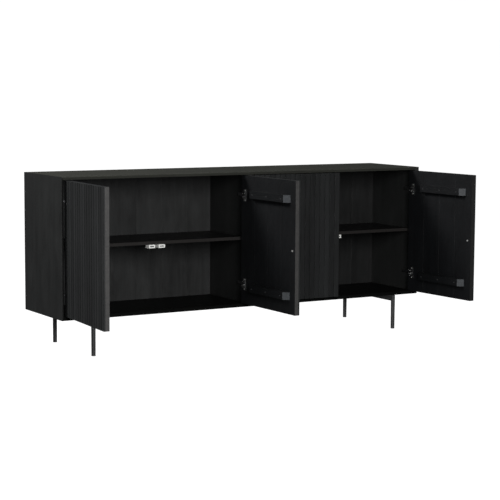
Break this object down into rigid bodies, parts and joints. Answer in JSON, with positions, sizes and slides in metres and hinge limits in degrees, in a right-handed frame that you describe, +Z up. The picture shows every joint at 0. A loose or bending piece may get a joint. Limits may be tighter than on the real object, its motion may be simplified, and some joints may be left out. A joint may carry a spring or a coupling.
{
  "type": "sideboard buffet",
  "caption": "Long low black-stained sideboard on slim rod legs, with slatted inset doors standing open over shelved bays.",
  "frame": {"origin": "on the floor under the centre of the casing's footprint", "axes": "+X to the right along the casing, +Y to the back, +Z up; the doors face -Y"},
  "size_m": [2.0142, 0.91, 0.828],
  "materials": {
    "casing_wood": "black-stained timber, satin oil",
    "back_wood": "black-stained boards, satin",
    "shelf_wood": "black-stained timber, satin",
    "door_wood": "black-stained boards, satin",
    "slat_wood": "black-stained slats, uneven tone, satin",
    "batten_wood": "black-stained timber, satin",
    "leg_metal": "black powder coat, satin",
    "glide_plastic": "black moulded plastic",
    "hinge_nickel": "nickel plated, satin",
    "pin_steel": "drawn steel",
    "bright_screw": "zinc plated",
    "dark_screw": "black oxide",
    "catch_plastic": "white moulded plastic",
    "magnet": "dull ferrite faced with steel"
  },
  "bodies": {
    "casing": {"top_panel": "casing_wood", "bottom_panel": "casing_wood", "left_side_panel": "casing_wood", "right_side_panel": "casing_wood", "centre_divider": "casing_wood", "left_back_panel": "back_wood", "right_back_panel": "back_wood", "left_shelf": "shelf_wood", "right_shelf": "shelf_wood", "shelf_pins": "pin_steel", "left_leg_bar": "leg_metal", "right_leg_bar": "leg_metal", "front_left_leg": "leg_metal", "front_right_leg": "leg_metal", "back_left_leg": "leg_metal", "back_right_leg": "leg_metal", "foot_glides": "glide_plastic", "leg_bar_screws": "dark_screw", "left_hinge_arms": "hinge_nickel", "right_hinge_arms": "hinge_nickel", "left_catches": "catch_plastic", "right_catches": "catch_plastic", "catch_magnets": "magnet", "casing_screws": "bright_screw"},
    "door_1": {"door_1_board": "door_wood", "door_1_slats": "slat_wood", "door_1_lower_batten": "batten_wood", "door_1_upper_batten": "batten_wood", "door_1_batten_screws": "dark_screw", "door_1_hinge_cups": "hinge_nickel", "door_1_hinge_pins": "pin_steel", "door_1_cup_screws": "bright_screw", "door_1_striker": "bright_screw"},
    "door_2": {"door_2_board": "door_wood", "door_2_slats": "slat_wood", "door_2_lower_batten": "batten_wood", "door_2_upper_batten": "batten_wood", "door_2_batten_screws": "dark_screw", "door_2_hinge_cups": "hinge_nickel", "door_2_hinge_pins": "pin_steel", "door_2_cup_screws": "bright_screw", "door_2_striker": "bright_screw"},
    "door_3": {"door_3_board": "door_wood", "door_3_slats": "slat_wood", "door_3_lower_batten": "batten_wood", "door_3_upper_batten": "batten_wood", "door_3_batten_screws": "dark_screw", "door_3_hinge_cups": "hinge_nickel", "door_3_hinge_pins": "pin_steel", "door_3_cup_screws": "bright_screw", "door_3_striker": "bright_screw"},
    "door_4": {"door_4_board": "door_wood", "door_4_slats": "slat_wood", "door_4_lower_batten": "batten_wood", "door_4_upper_batten": "batten_wood", "door_4_batten_screws": "dark_screw", "door_4_hinge_cups": "hinge_nickel", "door_4_hinge_pins": "pin_steel", "door_4_cup_screws": "bright_screw", "door_4_striker": "bright_screw"}
  },
  "joints": [
    {"name": "door_1_hinge", "type": "hinge", "parent": "casing", "child": "door_1", "pos_m": [-0.9725, -0.209, 0.5], "axis": [0, 0, -1], "range_deg": [-94, 4]},
    {"name": "door_2_hinge", "type": "hinge", "parent": "casing", "child": "door_2", "pos_m": [-0.0275, -0.209, 0.5], "axis": [0, 0, 1], "range_deg": [-90.5, 1.5]},
    {"name": "door_3_hinge", "type": "hinge", "parent": "casing", "child": "door_3", "pos_m": [0.0275, -0.209, 0.5], "axis": [0, 0, -1], "range_deg": [-2.5, 89.5]},
    {"name": "door_4_hinge", "type": "hinge", "parent": "casing", "child": "door_4", "pos_m": [0.9725, -0.209, 0.5], "axis": [0, 0, 1], "range_deg": [-93, 5]}
  ]
}
